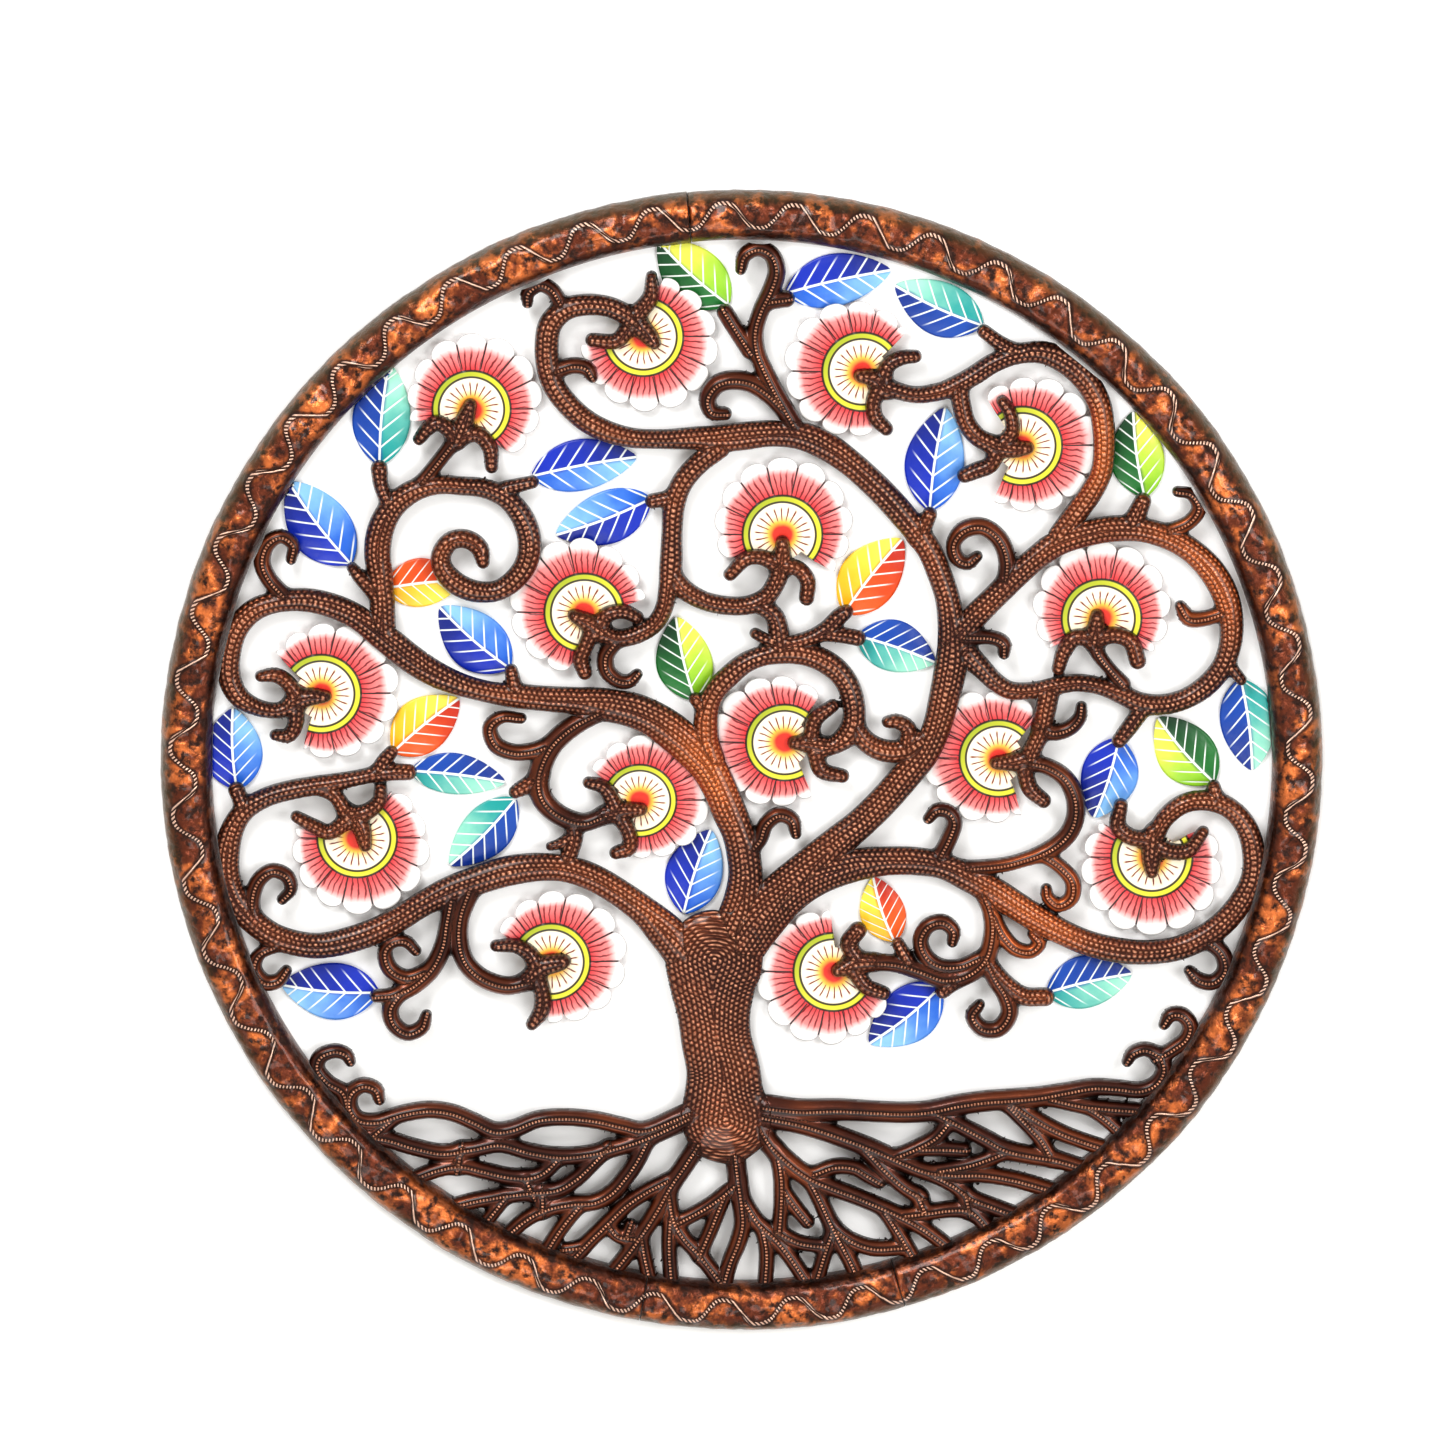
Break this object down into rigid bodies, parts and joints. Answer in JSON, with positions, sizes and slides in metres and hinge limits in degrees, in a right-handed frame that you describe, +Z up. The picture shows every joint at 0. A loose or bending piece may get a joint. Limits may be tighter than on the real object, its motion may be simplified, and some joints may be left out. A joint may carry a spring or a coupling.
{
  "type": "tree of life wall plaque",
  "caption": "Round openwork wall plaque: a hammered half-round rim around a tree with a trunk, curling limbs, roots, domed flowers and painted leaves.",
  "frame": {"origin": "centre of the rim, midway between its back edge and its crown", "axes": "+Z up when hung, +X to the viewer's right, -Y towards the viewer, +Y into the wall"},
  "size_m": [0.5998, 0.015, 0.5999],
  "materials": {
    "rim_steel": "hammered sheet steel under clear coppery brown lacquer",
    "tree_steel": "embossed sheet steel under glossy dark red-brown lacquer, bumps rubbed to copper",
    "root_steel": "sheet steel under glossy dark brown lacquer, with a raised bead line",
    "petal_enamel": "semi-gloss enamel shaded from red through yellow to pink and white",
    "leaf_blue": "semi-gloss enamel, dark and light blue halves with white veins",
    "leaf_teal": "semi-gloss enamel, blue and mint halves with white veins",
    "leaf_green": "semi-gloss enamel, dark and yellow-green halves with white veins",
    "leaf_orange": "semi-gloss enamel, yellow and orange-red halves with white veins"
  },
  "bodies": {
    "root": {"rim_left": "rim_steel", "rim_bottom": "rim_steel", "rim_right": "rim_steel", "trunk": "tree_steel", "bough_right": "tree_steel", "bough_left": "tree_steel", "limb_lower_left": "tree_steel", "limb_lower_right": "tree_steel", "limb_right": "tree_steel", "limb_upper_right": "tree_steel", "limb_upper_left": "tree_steel", "limb_centre": "tree_steel", "limb_middle": "tree_steel", "limb_loop": "tree_steel", "limb_spiral": "tree_steel", "tendril_top": "tree_steel", "roots_right": "root_steel", "roots_left": "root_steel", "flower_01": "petal_enamel", "flower_02": "petal_enamel", "flower_03": "petal_enamel", "flower_04": "petal_enamel", "flower_05": "petal_enamel", "flower_06": "petal_enamel", "flower_07": "petal_enamel", "flower_08": "petal_enamel", "flower_09": "petal_enamel", "flower_10": "petal_enamel", "flower_11": "petal_enamel", "flower_12": "petal_enamel", "flower_13": "petal_enamel", "flower_14": "petal_enamel", "flower_15": "petal_enamel", "leaf_01": "leaf_teal", "leaf_02": "leaf_green", "leaf_03": "leaf_blue", "leaf_04": "leaf_teal", "leaf_05": "leaf_blue", "leaf_06": "leaf_blue", "leaf_07": "leaf_blue", "leaf_08": "leaf_blue", "leaf_09": "leaf_green", "leaf_10": "leaf_orange", "leaf_11": "leaf_teal", "leaf_12": "leaf_green", "leaf_13": "leaf_orange", "leaf_14": "leaf_teal", "leaf_15": "leaf_blue", "leaf_16": "leaf_orange", "leaf_17": "leaf_teal", "leaf_18": "leaf_teal", "leaf_19": "leaf_blue", "leaf_20": "leaf_teal", "leaf_21": "leaf_green", "leaf_22": "leaf_blue", "leaf_23": "leaf_orange", "leaf_24": "leaf_blue", "leaf_25": "leaf_blue", "leaf_26": "leaf_teal"}
  },
  "joints": []
}
